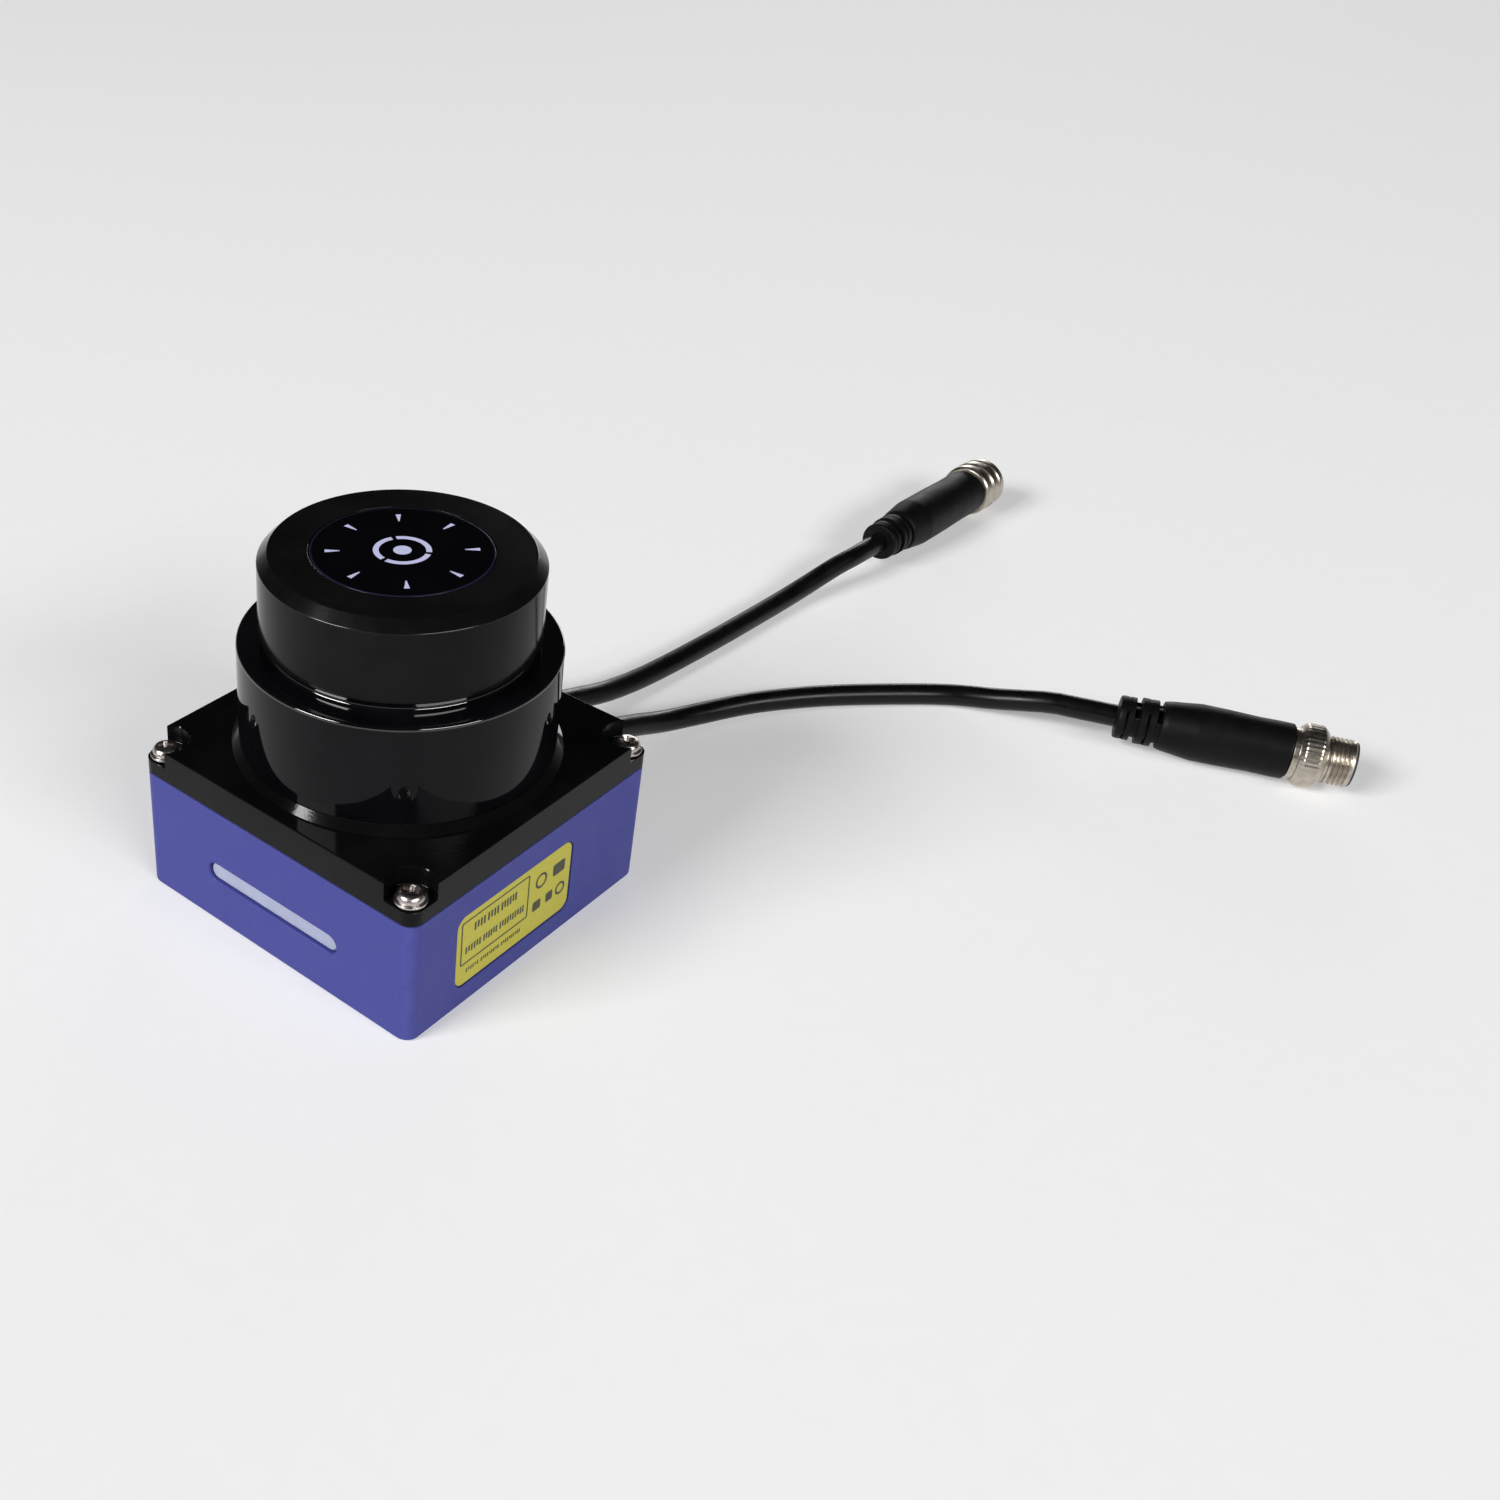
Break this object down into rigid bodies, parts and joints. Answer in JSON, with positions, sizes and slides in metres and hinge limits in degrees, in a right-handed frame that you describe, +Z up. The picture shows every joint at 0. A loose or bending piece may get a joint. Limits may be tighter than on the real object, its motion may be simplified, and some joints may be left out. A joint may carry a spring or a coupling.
{
  "type": "lidar scanner",
  "caption": "Compact laser scanner: square housing, stepped drum head with display disc, status light bar, side label and rear cables ending in round screw-lock plugs.",
  "frame": {"origin": "centre of the square housing's underside, which is the plane the scanner stands on", "axes": "+Z up along the drum and the mirror's spin axis; -Y out of the face with the status light bar; +X out of the face with the label; +Y out of the face the cables leave"},
  "size_m": [0.1911, 0.3151, 0.0855],
  "materials": {
    "blue_paint": "fine satin blue paint",
    "black_plastic": "gloss black",
    "window_plastic": "gloss black, infrared-pass tint",
    "display_glass": "high-gloss black",
    "diffuser": "milky diffuser",
    "light_guide": "frosted pale grey",
    "label_film": "satin yellow film",
    "steel": "bright zinc or stainless",
    "nickel": "satin nickel plate",
    "aluminium": "turned aluminium",
    "copper": "wound copper",
    "mirror_coat": "first-surface mirror",
    "lens_glass": "coated lens",
    "rubber": "matt black rubber",
    "jacket": "satin black cable jacket",
    "overmould": "matt black moulding",
    "circuit_board": "green solder mask",
    "carrier_plastic": "matt black"
  },
  "bodies": {
    "scanner": {"base_housing": "blue_paint", "bearing_lower": "steel", "bearing_upper": "steel", "cable_1": "jacket", "cable_2": "jacket", "cable_gland_1": "rubber", "cable_gland_2": "rubber", "contact_insert_1": "carrier_plastic", "contact_insert_2": "carrier_plastic", "corner_screw_1": "steel", "corner_screw_2": "steel", "corner_screw_3": "steel", "corner_screw_4": "steel", "corner_washer_1": "steel", "corner_washer_2": "steel", "corner_washer_3": "steel", "corner_washer_4": "steel", "cover_gasket": "rubber", "display_board": "circuit_board", "display_diffuser": "diffuser", "display_lens": "display_glass", "encoder_sensor": "carrier_plastic", "flex_carrier": "carrier_plastic", "head_chassis": "aluminium", "laser_tube": "nickel", "main_board": "circuit_board", "motor_mount": "aluminium", "motor_stator": "copper", "plug_body_1": "overmould", "plug_body_2": "overmould", "receiver_board": "circuit_board", "receiver_lens": "lens_glass", "scan_window": "window_plastic", "sealing_ring_1": "rubber", "side_label": "label_film", "status_board": "circuit_board", "status_light_guide": "light_guide", "top_cover": "black_plastic", "upper_cap": "black_plastic", "window_seal": "rubber"},
    "rotor": {"spin_shaft": "steel", "motor_bell": "steel", "encoder_disc": "steel", "mirror_holder": "carrier_plastic", "scan_mirror": "mirror_coat"},
    "coupling_nut": {"coupling_nut_1": "nickel"},
    "coupling_screw": {"coupling_screw_2": "nickel"}
  },
  "joints": [
    {"name": "mirror_spin", "type": "hinge", "parent": "scanner", "child": "rotor", "pos_m": [0, 0, 0.04], "axis": [0, 0, 1], "continuous": true},
    {"name": "coupling_nut_spin", "type": "hinge", "parent": "scanner", "child": "coupling_nut", "pos_m": [0.00898, 0.26902, 0.0082], "axis": [0.0532, 0.9986, 0], "continuous": true},
    {"name": "coupling_screw_spin", "type": "hinge", "parent": "scanner", "child": "coupling_screw", "pos_m": [0.14236, 0.18581, 0.0082], "axis": [0.9379, 0.3469, 0], "continuous": true}
  ]
}
